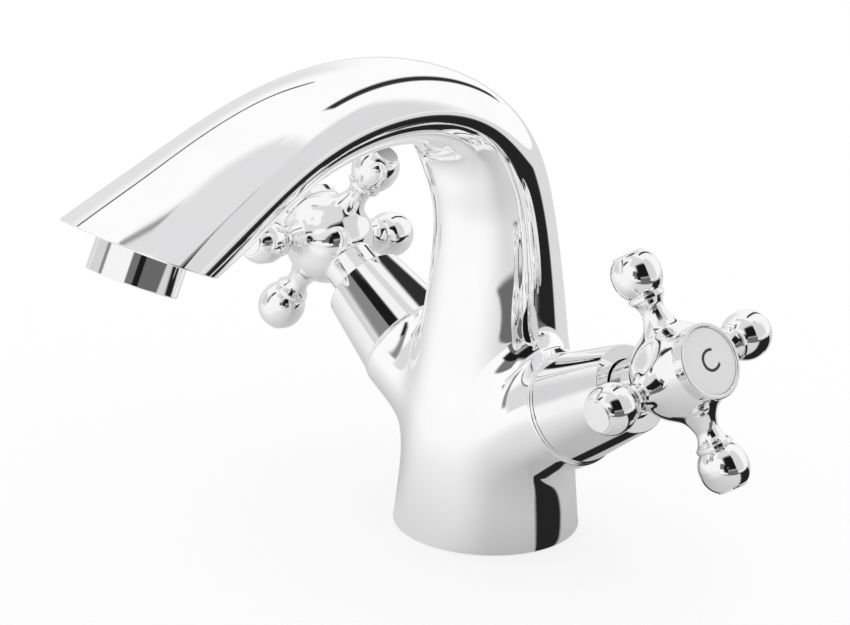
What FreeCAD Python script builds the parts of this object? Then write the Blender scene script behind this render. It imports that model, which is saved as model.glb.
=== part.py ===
import FreeCAD, Part
import math
import os

from FreeCAD import Placement, Rotation, Vector

# A deck-mounted basin mixer with two cross handles.
# Millimetres. The origin is the middle of the base on the deck, +Z is up, the spout reaches
# towards -Y, the cold valve leans out to +X and the hot valve to -X.

# ---- body and spout ----
base_radius = 25.0
body_wall = 3.0
section_points = 12

# Key sections from the base up the column and along the spout. Each gives the height and the
# set-back of its middle, the tilt of its plane in degrees, its half width, its half depth and
# the exponent of its outline: 2 is an ellipse, and more is squarer. The form between them
# follows smooth curves through these sizes.
foot_section = (0.0, 0.0, 0.0, base_radius, base_radius, 2.0)
key_sections = [
    (10.0, 0.0, 0.0, 24.0, 24.0, 2.0),
    (32.0, 0.0, 0.0, 22.0, 22.0, 2.0),
    (62.0, 0.4, 0.7, 19.1, 18.0, 2.0),
    (90.0, -2.1, 9.0, 17.2, 14.3, 2.0),
    (103.0, -7.3, 35.0, 17.7, 13.3, 2.02),
    (115.1, -18.0, 74.0, 17.8, 11.8, 2.08),
    (120.1, -72.8, 101.3, 19.3, 10.4, 2.15),
    (108.5, -99.6, 130.6, 22.1, 11.0, 2.25),
]
mouth_height = 99.9
mouth_reach = 117.8
mouth_tilt = 156.0
mouth_half_width = 24.6
mouth_half_depth = 13.4
mouth_squareness = 2.3
outer_section_count = 15
cavity_section_count = 7

# ---- valves: two round bosses that rise outwards from the body ----
valve_rise = 30.0
valve_height = 23.45
boss_radius = 15.15
boss_length = 36.3
boss_rim_chamfer = 0.7
boss_blend = 6.0
chamber_radius = 10.45
chamber_floor = 14.0

# ---- water ways in the body ----
inlet_thread_radius = 4.5
inlet_thread_depth = 13.0
inlet_spacing = 15.0
inlet_forward = 5.0
inlet_way_radius = 3.2
stud_thread_radius = 3.4
stud_thread_depth = 14.0
stud_back = 11.0
mixing_way_radius = 3.0
mixing_way_offset = 13.5
mixing_way_length = 11.0
cavity_floor = 48.0

# ---- base seal ----
seal_outer_radius = base_radius - 2.5
seal_width = 3.0
seal_thickness = 2.0

# ---- ceramic valve, measured along the valve axis ----
fit_gap = 0.05
loose_gap = 0.3
axial_play = 0.05
seat_washer_thickness = 2.2
seat_washer_bore = 4.0
fixed_disc_thickness = 3.0
turning_disc_thickness = 2.5
disc_radius = 8.0
port_radius = 6.3
port_inner_radius = 2.0
port_angle = 80.0
lug_width = 3.0
lug_depth = 1.2
lug_reach = 4.0
spindle_head_thickness = 2.5
thrust_washer_thickness = 0.8
stem_radius = 5.5
housing_nose_radius = 9.4
housing_nose_length = 11.0
window_width = 6.0
window_height = 4.0
hexagon_across_flats = 20.0
hexagon_height = 4.7
collar_radius = 9.0
collar_length = 8.0
neck_radius = 7.0
neck_length = 5.0
oring_thickness = 1.3
stem_ring_start = 4.0
stem_ring_spacing = 6.0
clip_thickness = 0.8
clip_radius = 6.3
clip_groove_depth = 0.9
clip_opening = 4.0
stem_end_length = 1.0
spline_teeth = 20
spline_tip_radius = 4.2
spline_root_radius = 3.7

# ---- sleeve over each valve ----
sleeve_base_radius = 14.6
sleeve_end_radius = 11.63
sleeve_length = 22.78
sleeve_wall = 1.6
sleeve_bead = 0.3
sleeve_bead_width = 0.9
sleeve_edge_chamfer = 0.4
sleeve_mouth_radius = 7.8
sleeve_end_thickness = 2.0
sleeve_grip_length = 4.0

# ---- cross handle ----
skirt_radius = 7.4
skirt_start = 56.0
skirt_bore_radius = 6.5
skirt_bore_depth = 5.0
handle_plane = 77.85
hub_radius = 12.3
hub_back_length = 10.4
hub_front_length = 8.6
hub_front_radius = 9.5
hub_band = 1.0
hub_back_bulge = (0.66, 0.88)
hub_front_bulge = (0.5, 0.94)
hub_wall_below_cap = 1.0
handle_seat = 72.0
handle_web = 2.0
screw_radius = 2.45
screw_length = 12.0
screw_head_radius = 4.5
screw_head_height = 3.0
screw_socket_flats = 5.0
screw_socket_floor = 1.0
cap_plug_radius = 7.0
cap_plug_length = 4.5
cap_plug_wall = 1.2
arm_start = 6.0
arm_start_radius = 6.5
arm_root_place = 8.5
arm_root_radius = 6.0
arm_root_bulge = (13.25, 4.0)
arm_neck_place = 16.0
arm_neck_radius = 3.1
arm_neck_bulge = (18.3, 3.5)
arm_bead_place = 19.8
arm_bead_radius = 4.8
arm_bead_width = 1.2
arm_bead_step = 0.5
arm_ball_back_bulge = (23.55, 6.0)
arm_ball_place = 26.3
arm_ball_radius = 6.45
arm_ball_front_bulge = (29.55, 5.8)
arm_tip_place = 32.0
arm_tip_radius = 4.0
arm_tip_height = 0.6
arm_tip_step = 0.4
cold_rest_turn = 8.5
hot_rest_turn = -12.2

# ---- index cap on the front of each handle ----
cap_radius = 9.84
cap_height = 2.9
cap_edge_chamfer = 0.5
index_disc_radius = 8.56
index_disc_thickness = 1.3
index_disc_recess = 0.45

# ---- aerator ----
aerator_radius = 11.4
aerator_length = 8.2
aerator_wall = 1.4
aerator_lip = 1.0
aerator_lip_reach = 1.2
aerator_edge_chamfer = 0.3
aerator_setback = 1.75
spigot_length = 3.5
spigot_way_radius = 7.5
aerator_washer_thickness = 1.0
screen_thickness = 0.8
screen_hole_flats = 1.9
screen_hole_rings = 2
screen_hole_pitch = 3.2
insert_wall = 1.2
insert_roof = 0.6
insert_slot_width = 1.6
insert_slot_inner = 2.0
insert_slot_count = 8

up = Vector(0, 0, 1)
out = Vector(1, 0, 0)
origin = Vector(0, 0, 0)


# ---------------------------------------------------------------- shared shapes

def section_wire(section, inset):
    """Closed rounded outline of one section of the body, drawn in by inset."""
    height, setback, tilt, half_width, half_depth, exponent = section
    across = Vector(0, math.cos(math.radians(tilt)), math.sin(math.radians(tilt)))
    middle = Vector(0, setback, height)
    points = []
    for step in range(section_points):
        turn = math.pi / 2 + 2 * math.pi * step / section_points
        side = abs(math.cos(turn)) ** (2 / exponent)
        rise = abs(math.sin(turn)) ** (2 / exponent)
        side = math.copysign(side, math.cos(turn)) * (half_width - inset)
        rise = math.copysign(rise, math.sin(turn)) * (half_depth - inset)
        points.append(middle + out * side + across * rise)
    knots = [step / section_points for step in range(section_points + 1)]
    curve = Part.BSplineCurve()
    curve.interpolate(Points=points, PeriodicFlag=True, Parameters=knots)
    return Part.Wire([curve.toShape()])


def turned(outline):
    """Solid of revolution about Z from a closed outline of (height, radius) points.

    An entry that ends in "arc" is the middle of an arc from the point before it to the
    point after it.
    """
    edges = []
    place = Vector(outline[0][1], 0, outline[0][0])
    bulge = None
    for entry in outline[1:] + [outline[0]]:
        point = Vector(entry[1], 0, entry[0])
        if len(entry) == 3:
            bulge = point
            continue
        if bulge is None:
            edges.append(Part.LineSegment(place, point).toShape())
        else:
            edges.append(Part.Arc(place, bulge, point).toShape())
        place = point
        bulge = None
    return Part.Face(Part.Wire(edges)).revolve(origin, up, 360)


def tube(start, end, inner, outer):
    """Plain ring from height start to end."""
    return turned([(start, inner), (start, outer), (end, outer), (end, inner)])


def rod(start, end, radius):
    """Plain round bar on Z from height start to end."""
    return Part.makeCylinder(radius, end - start, Vector(0, 0, start), up)


def ring(height, middle_radius, thickness):
    """Sealing ring. Its section is an octagon, as wide across its flats as the ring is thick."""
    corner = thickness / 2 / math.cos(math.pi / 8)
    outline = []
    for step in range(8):
        turn = math.pi * (2 * step + 1) / 8
        outline.append((height + corner * math.sin(turn), middle_radius + corner * math.cos(turn)))
    return turned(outline)


def hexagon(start, end, across_flats):
    """Six-sided bar on Z."""
    corner = across_flats / 2 / math.cos(math.radians(30))
    points = []
    for step in range(7):
        turn = math.radians(60 * step)
        points.append(Vector(corner * math.cos(turn), corner * math.sin(turn), start))
    return Part.Face(Part.makePolygon(points)).extrude(up * (end - start))


def spline_bar(start, end, growth):
    """Toothed bar on Z. Growth makes the matching socket larger than the bar."""
    points = []
    shares = [(0.0, 0), (0.25, 0), (0.45, 1), (0.8, 1)]
    for tooth in range(spline_teeth):
        for share, is_tip in shares:
            turn = 2 * math.pi * (tooth + share) / spline_teeth
            radius = (spline_tip_radius if is_tip else spline_root_radius) + growth
            points.append(Vector(radius * math.cos(turn), radius * math.sin(turn), start))
    points.append(points[0])
    return Part.Face(Part.makePolygon(points)).extrude(up * (end - start))


def valve_placement(side):
    """Stands a shape modelled on Z out along the valve axis. Side is 1 for cold, -1 for hot."""
    turn = Rotation(Vector(0, 1, 0), side * (90 - valve_rise))
    return Placement(Vector(0, 0, valve_height), turn)


def on_valve(shape, side):
    placed = shape.copy()
    placed.Placement = valve_placement(side).multiply(placed.Placement)
    return placed


# ---------------------------------------------------------------- places along the valve axis

washer_top = chamber_floor + seat_washer_thickness
fixed_disc_top = washer_top + fixed_disc_thickness
turning_disc_top = fixed_disc_top + turning_disc_thickness
spindle_head_top = turning_disc_top + spindle_head_thickness
thrust_washer_start = spindle_head_top + axial_play
housing_shoulder = thrust_washer_start + thrust_washer_thickness
hexagon_top = boss_length + hexagon_height
collar_top = hexagon_top + collar_length
housing_top = collar_top + neck_length
clip_top = housing_top + clip_thickness
sleeve_end = boss_length + sleeve_length
cap_seat = handle_plane + hub_front_length
cap_front = cap_seat + cap_height
screw_seat = handle_seat + handle_web
disc_seat = cap_front - index_disc_recess - index_disc_thickness
disc_room_radius = disc_radius + loose_gap


# ---------------------------------------------------------------- body

def mouth_section():
    return (mouth_height, -mouth_reach, mouth_tilt,
            mouth_half_width, mouth_half_depth, mouth_squareness)


def natural_curve(places, values):
    """Smooth curve through the values, as a function of the place: a natural cubic spline."""
    last = len(places) - 1
    spans = [places[i + 1] - places[i] for i in range(last)]
    slopes = [(values[i + 1] - values[i]) / spans[i] for i in range(last)]
    shares = [0.0]
    loads = [0.0]
    for i in range(1, last):
        pivot = 2 * (spans[i - 1] + spans[i]) - spans[i - 1] * shares[-1]
        loads.append((6 * (slopes[i] - slopes[i - 1]) - spans[i - 1] * loads[-1]) / pivot)
        shares.append(spans[i] / pivot)
    bends = [0.0] * (last + 1)
    for i in range(last - 1, 0, -1):
        bends[i] = loads[i] - shares[i] * bends[i + 1]

    def value_at(place):
        i = 0
        while i < last - 1 and place > places[i + 1]:
            i += 1
        before = place - places[i]
        after = places[i + 1] - place
        curve = (bends[i] * after ** 3 + bends[i + 1] * before ** 3) / (6 * spans[i])
        left = (values[i] / spans[i] - bends[i] * spans[i] / 6) * after
        right = (values[i + 1] / spans[i] - bends[i + 1] * spans[i] / 6) * before
        return curve + left + right

    return value_at


def sweep_sections(first_height, count):
    """Evenly spaced sections from a height on the column to the mouth."""
    keys = [foot_section] + key_sections + [mouth_section()]
    places = [0.0]
    for before, after in zip(keys, keys[1:]):
        step = math.hypot(after[0] - before[0], after[1] - before[1])
        places.append(places[-1] + step)
    curves = [natural_curve(places, [key[column] for key in keys]) for column in range(6)]
    sections = []
    for step in range(count):
        place = first_height + (places[-1] - first_height) * step / (count - 1)
        sections.append(tuple(curve(place) for curve in curves))
    return sections


def on_mouth(shape):
    """Puts a shape modelled on Z on the aerator's axis, with Z out of the spout's cut end."""
    lean = math.radians(mouth_tilt)
    across = Vector(0, math.cos(lean), math.sin(lean))
    middle = Vector(0, -mouth_reach, mouth_height) - across * aerator_setback
    placed = shape.copy()
    placed.Placement = Placement(middle, Rotation(out, mouth_tilt)).multiply(placed.Placement)
    return placed


def loft(sections, inset):
    return Part.makeLoft([section_wire(section, inset) for section in sections], True, False)


def blend_edges(form):
    """The two seams where the bosses leave the body."""
    seams = []
    for edge in form.Edges:
        middle = edge.valueAt((edge.FirstParameter + edge.LastParameter) / 2)
        on_base = middle.z < 1.0
        on_column = abs(middle.x) < base_radius and middle.z < mouth_height / 1.5
        if edge.Curve.TypeId == "Part::GeomBSplineCurve" and on_column and not on_base:
            seams.append(edge)
    return seams


def rim_chamfer():
    """What the chamfer takes off the rim of a boss, and a little of the air round it."""
    depth = boss_rim_chamfer
    return turned([
        (boss_length - 2 * depth, boss_radius + depth), (boss_length + depth, boss_radius - 2 * depth),
        (boss_length + depth, boss_radius + depth)])


def outer_form():
    """Column and spout in one sweep of sections, with the two bosses blended in."""
    form = loft(sweep_sections(0.0, outer_section_count), 0.0)
    bosses = [on_valve(rod(0, boss_length, boss_radius), side) for side in (1, -1)]
    form = form.fuse(bosses).removeSplitter()
    form = form.makeFillet(boss_blend, blend_edges(form))
    return form.cut([on_valve(rim_chamfer(), side) for side in (1, -1)])


def spout_cavity():
    """Water space in the column and spout, one wall inside the outer form."""
    space = loft(sweep_sections(cavity_floor, cavity_section_count), body_wall)
    size = 4 * mouth_half_width
    corner = Vector(-size / 2, -size / 2, -body_wall)
    beyond = on_mouth(Part.makeBox(size, size, size, corner))
    return space.cut(beyond)


def inlet_ways():
    """Hose sockets in the base, each with its way up to the floor of a valve chamber."""
    ways = []
    for side in (1, -1):
        socket = Vector(side * inlet_spacing / 2, -inlet_forward, 0)
        ways.append(Part.makeCylinder(inlet_thread_radius, inlet_thread_depth, socket, up))
        start = socket + up * (inlet_thread_depth - inlet_way_radius)
        floor = valve_placement(side).multVec(up * chamber_floor)
        rise = floor - start
        ways.append(Part.makeCylinder(inlet_way_radius, rise.Length, start, rise))
    return ways


def mixing_ways():
    """Short ways from each valve chamber up into the column."""
    ways = []
    for side in (1, -1):
        start = Vector(side * mixing_way_offset, 0, cavity_floor + 1 - mixing_way_length)
        ways.append(Part.makeCylinder(mixing_way_radius, mixing_way_length, start, up))
    return ways


def mixer_body():
    """One brass casting: base, column, bosses, spout and the spigot for the aerator."""
    form = outer_form()
    spigot = rod(0, spigot_length, aerator_radius - aerator_wall - fit_gap)
    form = form.fuse(on_mouth(spigot))
    cuts = [spout_cavity()]
    cuts.append(on_mouth(rod(-body_wall - 1, spigot_length, spigot_way_radius)))
    for side in (1, -1):
        cuts.append(on_valve(rod(chamber_floor, boss_length, chamber_radius), side))
    cuts += inlet_ways()
    cuts += mixing_ways()
    stud = Vector(0, stud_back, 0)
    cuts.append(Part.makeCylinder(stud_thread_radius, stud_thread_depth, stud, up))
    cuts.append(tube(0, seal_thickness, seal_outer_radius - seal_width - fit_gap,
                     seal_outer_radius + fit_gap))
    return form.cut(cuts)


def base_seal():
    """Flat rubber ring in the groove under the base."""
    return tube(0, seal_thickness, seal_outer_radius - seal_width, seal_outer_radius)


# ---------------------------------------------------------------- ceramic valve

def seat_washer():
    """Rubber ring that presses the fixed disc's inlet against the chamber floor."""
    return tube(chamber_floor, washer_top, seat_washer_bore, disc_radius)


def port(start, end, middle_angle):
    """Water port through a ceramic disc: a ring sector."""
    sector = Part.makeCylinder(port_radius, end - start, Vector(0, 0, start), up, port_angle)
    sector = sector.cut(rod(start, end, port_inner_radius))
    sector.rotate(origin, up, middle_angle - port_angle / 2)
    return sector


def fixed_disc():
    """Ceramic disc that stays still, with two ports."""
    disc = rod(washer_top, fixed_disc_top, disc_radius)
    return disc.cut([port(washer_top, fixed_disc_top, 0), port(washer_top, fixed_disc_top, 180)])


def drive_lugs(start, end, growth):
    """Two lugs of the spindle that turn the upper disc, or their notches with growth."""
    lugs = []
    width = lug_width + 2 * growth
    for turn in (0, 180):
        lug = Part.makeBox(disc_radius, width, end - start,
                           Vector(lug_reach - growth, -width / 2, start))
        lug.rotate(origin, up, turn)
        lugs.append(lug)
    return lugs


def turning_disc():
    """Ceramic disc that turns with the spindle. At rest it covers both ports."""
    disc = rod(fixed_disc_top, turning_disc_top, disc_radius)
    ports = [port(fixed_disc_top, turning_disc_top, turn) for turn in (90, 270)]
    notches = drive_lugs(turning_disc_top - lug_depth, turning_disc_top, fit_gap)
    return disc.cut(ports + notches)


def thrust_washer():
    """Slippery washer between the spindle's head and the housing's shoulder."""
    return tube(thrust_washer_start, housing_shoulder, stem_radius + loose_gap, disc_radius)


def stem_ring_places():
    first = housing_shoulder + stem_ring_start
    return [first, first + stem_ring_spacing]


def housing_ring_place():
    return boss_length - 1.5 * oring_thickness


def groove(middle, floor_radius, outer_radius):
    """Ring groove, a little wider than the sealing ring."""
    half = oring_thickness / 2 + loose_gap / 2
    return tube(middle - half, middle + half, floor_radius, outer_radius)


def valve_housing():
    """Brass housing of the valve: nose with windows, shank, hexagon, threaded collar, neck."""
    nose_start = chamber_floor + loose_gap
    nose_end = nose_start + housing_nose_length
    shank = chamber_radius - fit_gap
    housing = turned([
        (nose_start, disc_room_radius), (nose_start, housing_nose_radius),
        (nose_end, housing_nose_radius), (nose_end, shank),
        (boss_length, shank), (boss_length, stem_radius + fit_gap),
        (housing_shoulder, stem_radius + fit_gap), (housing_shoulder, disc_room_radius)])
    above = turned([
        (boss_length, stem_radius + fit_gap), (boss_length, collar_radius),
        (collar_top, collar_radius), (collar_top, neck_radius),
        (housing_top, neck_radius), (housing_top, stem_radius + fit_gap)])
    nut = hexagon(boss_length, hexagon_top, hexagon_across_flats)
    nut = nut.cut(rod(boss_length, hexagon_top, stem_radius + fit_gap))
    housing = housing.fuse([above, nut])
    window = Part.makeBox(3 * chamber_radius, window_width, window_height,
                          Vector(-1.5 * chamber_radius, -window_width / 2, fixed_disc_top))
    ring_floor = chamber_radius - oring_thickness - fit_gap
    housing = housing.cut([window, groove(housing_ring_place(), ring_floor, chamber_radius)])
    return housing.removeSplitter()


def housing_oring():
    """Sealing ring between the housing's shank and the boss."""
    return ring(housing_ring_place(), chamber_radius - fit_gap - oring_thickness / 2,
                oring_thickness - fit_gap)


def spindle():
    """Turning spindle: head with two lugs, sealed stem, clip groove and toothed end."""
    floor = stem_radius - oring_thickness
    stem_top = clip_top + stem_end_length
    bar = rod(turning_disc_top, spindle_head_top, disc_radius - loose_gap)
    bar = bar.fuse([rod(spindle_head_top, stem_top, stem_radius),
                    spline_bar(stem_top, handle_seat, 0)])
    lug_start = turning_disc_top - lug_depth
    head_outline = rod(lug_start, turning_disc_top, disc_radius - loose_gap)
    lugs = drive_lugs(lug_start, turning_disc_top, 0)
    bar = bar.fuse([lug.common(head_outline) for lug in lugs])
    cuts = [groove(place, floor, stem_radius + 1) for place in stem_ring_places()]
    cuts.append(tube(housing_top, clip_top, stem_radius - clip_groove_depth, stem_radius + 1))
    cuts.append(rod(screw_seat - screw_length - 1, handle_seat, screw_radius + fit_gap))
    return bar.cut(cuts).removeSplitter()


def stem_orings():
    """Two sealing rings in the stem's grooves."""
    rings = [ring(place, stem_radius - oring_thickness / 2, oring_thickness - fit_gap)
             for place in stem_ring_places()]
    return Part.makeCompound(rings)


def retaining_clip():
    """Open spring clip that keeps the spindle in the housing."""
    clip = tube(housing_top, clip_top, stem_radius - clip_groove_depth + fit_gap, clip_radius)
    slot = Part.makeBox(clip_radius, clip_opening, clip_thickness,
                        Vector(0, -clip_opening / 2, housing_top))
    return clip.cut(slot)


# ---------------------------------------------------------------- sleeve and handle

def sleeve():
    """Tapered chrome cover over the valve, screwed onto the housing's collar."""
    grip_start = collar_top - sleeve_grip_length
    slope = (sleeve_base_radius - sleeve_end_radius) / sleeve_length
    bead_top = boss_length + sleeve_bead_width

    def skin(height):
        return sleeve_base_radius - slope * (height - boss_length)

    def bore(height):
        return skin(height) - sleeve_wall

    bead_radius = sleeve_base_radius + sleeve_bead
    roof = sleeve_end - sleeve_end_thickness
    edge = sleeve_edge_chamfer
    return turned([
        (boss_length, bore(boss_length)), (boss_length, bead_radius),
        (bead_top, bead_radius), (bead_top, skin(bead_top)),
        (sleeve_end - edge, skin(sleeve_end - edge)), (sleeve_end, skin(sleeve_end) - edge),
        (sleeve_end, sleeve_mouth_radius), (roof, sleeve_mouth_radius),
        (roof, bore(roof)), (collar_top, bore(collar_top)),
        (collar_top, collar_radius + fit_gap), (grip_start, collar_radius + fit_gap),
        (grip_start, bore(grip_start))])


def hub():
    """Round hub of the handle, with the skirt that dips into the sleeve."""
    back = handle_plane - hub_back_length
    back_share, back_girth = hub_back_bulge
    front_share, front_girth = hub_front_bulge
    return turned([
        (skirt_start, 0), (skirt_start, skirt_radius), (back, skirt_radius),
        (handle_plane - back_share * hub_back_length, back_girth * hub_radius, "arc"),
        (handle_plane - hub_band, hub_radius),
        (handle_plane + front_share * hub_front_length, front_girth * hub_radius, "arc"),
        (cap_seat, hub_front_radius), (cap_seat, 0)])


def arm():
    """One arm on Z: flared root, waist, bead, egg-shaped ball and flat tip."""
    ball_start = arm_bead_place + arm_bead_width
    tip_start = arm_tip_place - arm_tip_height
    return turned([
        (arm_start, 0), (arm_start, arm_start_radius), (arm_root_place, arm_root_radius),
        arm_root_bulge + ("arc",), (arm_neck_place, arm_neck_radius),
        arm_neck_bulge + ("arc",), (arm_bead_place, arm_bead_radius),
        (ball_start, arm_bead_radius), (ball_start, arm_bead_radius - arm_bead_step),
        arm_ball_back_bulge + ("arc",), (arm_ball_place, arm_ball_radius),
        arm_ball_front_bulge + ("arc",), (tip_start, arm_tip_radius + arm_tip_step),
        (tip_start, arm_tip_radius), (arm_tip_place, arm_tip_radius), (arm_tip_place, 0)])


def rest_turn(side):
    return cold_rest_turn if side > 0 else hot_rest_turn


def handle_cross(side):
    """Cross handle in one casting: hub, four arms, toothed socket and seats for screw and cap."""
    arms = []
    for step in range(4):
        spoke = arm()
        spoke.Placement = Placement(up * handle_plane, Rotation(Vector(0, 1, 0), -90))
        spoke.rotate(origin, up, 90 * step + side * rest_turn(side))
        arms.append(spoke)
    cross = hub().fuse(arms)
    cuts = [rod(skirt_start, skirt_start + skirt_bore_depth, skirt_bore_radius),
            spline_bar(skirt_start + skirt_bore_depth - 1, handle_seat, fit_gap),
            rod(handle_seat - 1, screw_seat + 1, screw_radius + fit_gap),
            rod(screw_seat, cap_seat - cap_plug_length, cap_plug_radius - hub_wall_below_cap),
            rod(cap_seat - cap_plug_length, cap_seat, cap_plug_radius + fit_gap)]
    return cross.cut(cuts).removeSplitter()


def handle_screw():
    """Socket-head screw that clamps the handle on the spindle."""
    shank = rod(screw_seat - screw_length, screw_seat, screw_radius)
    head = rod(screw_seat, screw_seat + screw_head_height, screw_head_radius)
    socket = hexagon(screw_seat + screw_socket_floor, screw_seat + screw_head_height,
                     screw_socket_flats)
    return shank.fuse(head).cut(socket).removeSplitter()


def index_cap():
    """Chrome cap that plugs into the hub and frames the index disc."""
    seat = cap_seat - cap_plug_length
    bore = cap_plug_radius - cap_plug_wall
    edge = cap_edge_chamfer
    return turned([
        (seat, bore), (seat, cap_plug_radius), (cap_seat, cap_plug_radius),
        (cap_seat, cap_radius), (cap_front - edge, cap_radius), (cap_front, cap_radius - edge),
        (cap_front, index_disc_radius + fit_gap), (disc_seat, index_disc_radius + fit_gap),
        (disc_seat, bore)])


def index_disc():
    """White disc in the cap."""
    return rod(disc_seat, disc_seat + index_disc_thickness, index_disc_radius)


# ---------------------------------------------------------------- aerator

aerator_bore = aerator_radius - aerator_wall
washer_end = spigot_length + aerator_washer_thickness
insert_end = aerator_length - screen_thickness - aerator_lip


def aerator_shell():
    """Chrome ring nut that screws onto the spigot and holds the insert."""
    edge = aerator_edge_chamfer
    lip_start = aerator_length - aerator_lip
    lip_bore = aerator_bore - aerator_lip_reach
    return on_mouth(turned([
        (0, aerator_bore), (0, aerator_radius), (aerator_length - edge, aerator_radius),
        (aerator_length, aerator_radius - edge), (aerator_length, lip_bore),
        (lip_start, lip_bore), (lip_start, aerator_bore)]))


def aerator_washer():
    """Rubber washer between the spigot and the insert."""
    return on_mouth(tube(spigot_length, washer_end, spigot_way_radius, aerator_bore - loose_gap))


def aerator_insert():
    """Plastic insert with radial slots that draw air into the water."""
    outer = aerator_bore - loose_gap
    insert = tube(washer_end, insert_end, outer - 2 * insert_wall, outer)
    roof = rod(washer_end, washer_end + insert_roof, outer - insert_wall)
    insert = insert.fuse(roof)
    cuts = []
    for step in range(insert_slot_count):
        length = outer - 2 * insert_wall - insert_slot_inner
        slot = Part.makeBox(length, insert_slot_width, insert_roof,
                            Vector(insert_slot_inner, -insert_slot_width / 2, washer_end))
        slot.rotate(origin, up, 360 * step / insert_slot_count)
        cuts.append(slot)
    return on_mouth(insert.cut(cuts).removeSplitter())


def aerator_screen():
    """Honeycomb disc behind the shell's lip, with a middle hole and rings of six-sided ones."""
    screen_end = insert_end + screen_thickness
    screen = rod(insert_end, screen_end, aerator_bore - loose_gap)
    holes = [hexagon(insert_end, screen_end, screen_hole_flats)]
    for row in range(1, screen_hole_rings + 1):
        for step in range(6 * row):
            hole = holes[0].copy()
            hole.translate(out * (row * screen_hole_pitch))
            hole.rotate(origin, up, 60 * step / row)
            holes.append(hole)
    return on_mouth(screen.cut(holes))


# ---------------------------------------------------------------- files

def save(name, shape):
    shape.exportStep("parts/" + name + ".step")


os.makedirs("parts", exist_ok=True)
save("mixer_body", mixer_body())
save("base_seal", base_seal())
save("aerator_shell", aerator_shell())
save("aerator_washer", aerator_washer())
save("aerator_insert", aerator_insert())
save("aerator_screen", aerator_screen())
for word, side in (("cold", 1), ("hot", -1)):
    save(word + "_seat_washer", on_valve(seat_washer(), side))
    save(word + "_fixed_disc", on_valve(fixed_disc(), side))
    save(word + "_turning_disc", on_valve(turning_disc(), side))
    save(word + "_thrust_washer", on_valve(thrust_washer(), side))
    save(word + "_valve_housing", on_valve(valve_housing(), side))
    save(word + "_housing_oring", on_valve(housing_oring(), side))
    save(word + "_spindle", on_valve(spindle(), side))
    save(word + "_stem_orings", on_valve(stem_orings(), side))
    save(word + "_retaining_clip", on_valve(retaining_clip(), side))
    save(word + "_sleeve", on_valve(sleeve(), side))
    save(word + "_handle_cross", on_valve(handle_cross(side), side))
    save(word + "_handle_screw", on_valve(handle_screw(), side))
    save(word + "_index_cap", on_valve(index_cap(), side))
    save(word + "_index_disc", on_valve(index_disc(), side))
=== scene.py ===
import math
from itertools import product

import bmesh
import bpy
import numpy as np
from mathutils import Matrix, Vector


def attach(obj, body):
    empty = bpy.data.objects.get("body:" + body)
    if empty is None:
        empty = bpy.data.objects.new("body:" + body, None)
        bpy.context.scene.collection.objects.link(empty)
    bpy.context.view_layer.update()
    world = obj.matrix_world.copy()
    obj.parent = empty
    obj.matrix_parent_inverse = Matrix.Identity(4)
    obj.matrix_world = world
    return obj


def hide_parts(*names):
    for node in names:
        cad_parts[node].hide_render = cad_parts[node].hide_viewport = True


# A chrome basin mixer with two cross handles. Sizes are in millimetres and are turned into
# metres when a mesh is made. The frame is the CAD frame: base on z = 0, spout towards -Y.

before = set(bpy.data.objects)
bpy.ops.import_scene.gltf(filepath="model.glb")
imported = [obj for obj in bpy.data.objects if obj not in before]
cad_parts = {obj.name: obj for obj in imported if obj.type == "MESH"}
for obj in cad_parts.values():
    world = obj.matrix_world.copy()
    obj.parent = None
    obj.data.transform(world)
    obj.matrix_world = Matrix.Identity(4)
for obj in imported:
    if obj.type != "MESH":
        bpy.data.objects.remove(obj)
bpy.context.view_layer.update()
MM = 0.001
FULL_TURN = 2 * math.pi

# ---------------- sizes

# Height, set-back, tilt in degrees, half width, half depth and squareness of the key sections
# up the column and along the spout.
KEY_SECTIONS = [
    (0.0, 0.0, 0.0, 25.0, 25.0, 2.0),
    (10.0, 0.0, 0.0, 24.0, 24.0, 2.0),
    (32.0, 0.0, 0.0, 22.0, 22.0, 2.0),
    (62.0, 0.4, 0.7, 19.1, 18.0, 2.0),
    (90.0, -2.1, 9.0, 17.2, 14.3, 2.0),
    (103.0, -7.3, 35.0, 17.7, 13.3, 2.02),
    (115.1, -18.0, 74.0, 17.8, 11.8, 2.08),
    (120.1, -72.8, 101.3, 19.3, 10.4, 2.15),
    (108.5, -99.6, 130.6, 22.1, 11.0, 2.25),
    (99.9, -117.8, 156.0, 24.6, 13.4, 2.3),
]
BASE_RADIUS = 25.0
BASE_ROUND = 0.5
MOUTH_ROUND = 0.45
ROUND_STEPS = 5
# The column with its bosses is one net up to MIXED_TOP, which lies above key section TOP_KEY.
# From there on the column and spout are made of even rows.
MIXED_TOP = 74.0
MIXED_TOP_REACH = 8.0
TOP_KEY = 3
BASE_CUT_HEIGHT = 1.4
BASE_OVERRUN = 1.5
CUT_TOLERANCE = 1e-5
NET_HALF_DEPTH = 27.0
NET_MARGIN = 2.0
CASTING_CELL = 0.8
HANDLE_CELL = 0.45
ROW_COUNT = 144
ROW_PITCH = 1.3
ROW_START_GAP = 0.9

SIDES = {"cold": 1, "hot": -1}
VALVE_RISE = math.radians(30)
VALVE_HEIGHT = 23.45
BOSS_RADIUS = 15.15
BOSS_LENGTH = 36.3
BOSS_RIM_ROUND = 0.7
FIT_GAP = 0.05
BOSS_CUT_HEIGHT = BOSS_LENGTH - BOSS_RIM_ROUND - FIT_GAP
BOSS_CUT_RADIUS = BOSS_RADIUS + 3.5
BOSS_CUT_DEPTH = 6.0
BOSS_BLEND = 11.0
CHAMBER_RADIUS = 10.45
CHAMBER_FLOOR = 14.0

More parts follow.
